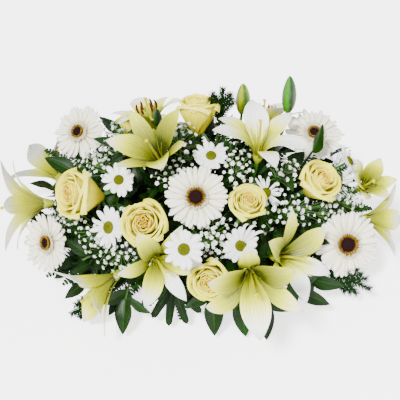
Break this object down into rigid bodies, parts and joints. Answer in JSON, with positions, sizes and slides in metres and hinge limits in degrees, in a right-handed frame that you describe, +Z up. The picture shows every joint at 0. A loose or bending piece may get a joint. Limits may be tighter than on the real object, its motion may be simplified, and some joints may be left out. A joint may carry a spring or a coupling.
{
  "type": "funeral pillow flower arrangement",
  "caption": "Oval domed funeral spray of lilies, roses, gerberas, daisies and gypsophila over dark greens, in wet foam in a low tray.",
  "frame": {"origin": "middle of the tray's flat underside, where it stands on the ground or a table", "axes": "+X to the right along the oval's long axis, +Y to the back, +Z up; the front of the arrangement looks to -Y"},
  "size_m": [0.5937, 0.4433, 0.2684],
  "materials": {
    "gerbera_petal": "cream-white ray petals with a satin skin, dark eye and golden stamens",
    "rose_petal": "velvety pale yellow petals, deeper orange-yellow towards the heart",
    "daisy_petal": "matt white ray petals with an olive-green eye",
    "lily_tepal": "waxy cream-white tepals with a yellow-green throat and midrib",
    "bud_green": "smooth yellow-green bud scales",
    "leaf_green": "glossy dark green leaf with paler veins",
    "fern_green": "matt dark green fern leaflets",
    "needle_green": "dark blue-green needles on a brown twig",
    "gypsophila_white": "small white florets on thin green stems",
    "floral_foam": "wet dark green crumbly foam",
    "tray_plastic": "moulded dark green plastic, semi-matt"
  },
  "bodies": {
    "root": {"tray": "tray_plastic", "foam": "floral_foam", "gerbera_centre": "gerbera_petal", "gerbera_front_right": "gerbera_petal", "gerbera_front_left": "gerbera_petal", "gerbera_back_left": "gerbera_petal", "gerbera_back_right": "gerbera_petal", "gerbera_back": "gerbera_petal", "rose_left": "rose_petal", "rose_centre_left": "rose_petal", "rose_centre_right": "rose_petal", "rose_right": "rose_petal", "rose_top": "rose_petal", "rose_front": "rose_petal", "rose_back": "rose_petal", "daisy_left": "daisy_petal", "daisy_front_left": "daisy_petal", "daisy_centre": "daisy_petal", "daisy_top": "daisy_petal", "daisy_right": "daisy_petal", "daisy_front_right": "daisy_petal", "daisy_far_right": "daisy_petal", "daisy_back": "daisy_petal", "lily_left": "lily_tepal", "lily_far_left": "lily_tepal", "lily_top_left": "lily_tepal", "lily_top_right": "lily_tepal", "lily_front_left": "lily_tepal", "lily_front_middle": "lily_tepal", "lily_front": "lily_tepal", "lily_front_right": "lily_tepal", "lily_right": "lily_tepal", "lily_far_right": "lily_tepal", "lily_back_left": "lily_tepal", "lily_back_right": "lily_tepal", "bud_tall": "bud_green", "bud_yellow": "bud_green", "bud_small": "bud_green", "leaves_front": "leaf_green", "leaves_front_left": "leaf_green", "leaves_front_right": "leaf_green", "leaves_left": "leaf_green", "leaves_top_left": "leaf_green", "leaves_top_right": "leaf_green", "leaves_back": "leaf_green", "fern_left": "fern_green", "fern_back_left": "fern_green", "fern_back_right": "fern_green", "fern_right": "fern_green", "fir_right": "needle_green", "fir_top": "needle_green", "fir_front_left": "needle_green", "lobed_leaf": "leaf_green", "baby_left": "gypsophila_white", "baby_far_left": "gypsophila_white", "baby_top": "gypsophila_white", "baby_front_left": "gypsophila_white", "baby_front": "gypsophila_white", "baby_centre_right": "gypsophila_white", "baby_right": "gypsophila_white"}
  },
  "joints": []
}
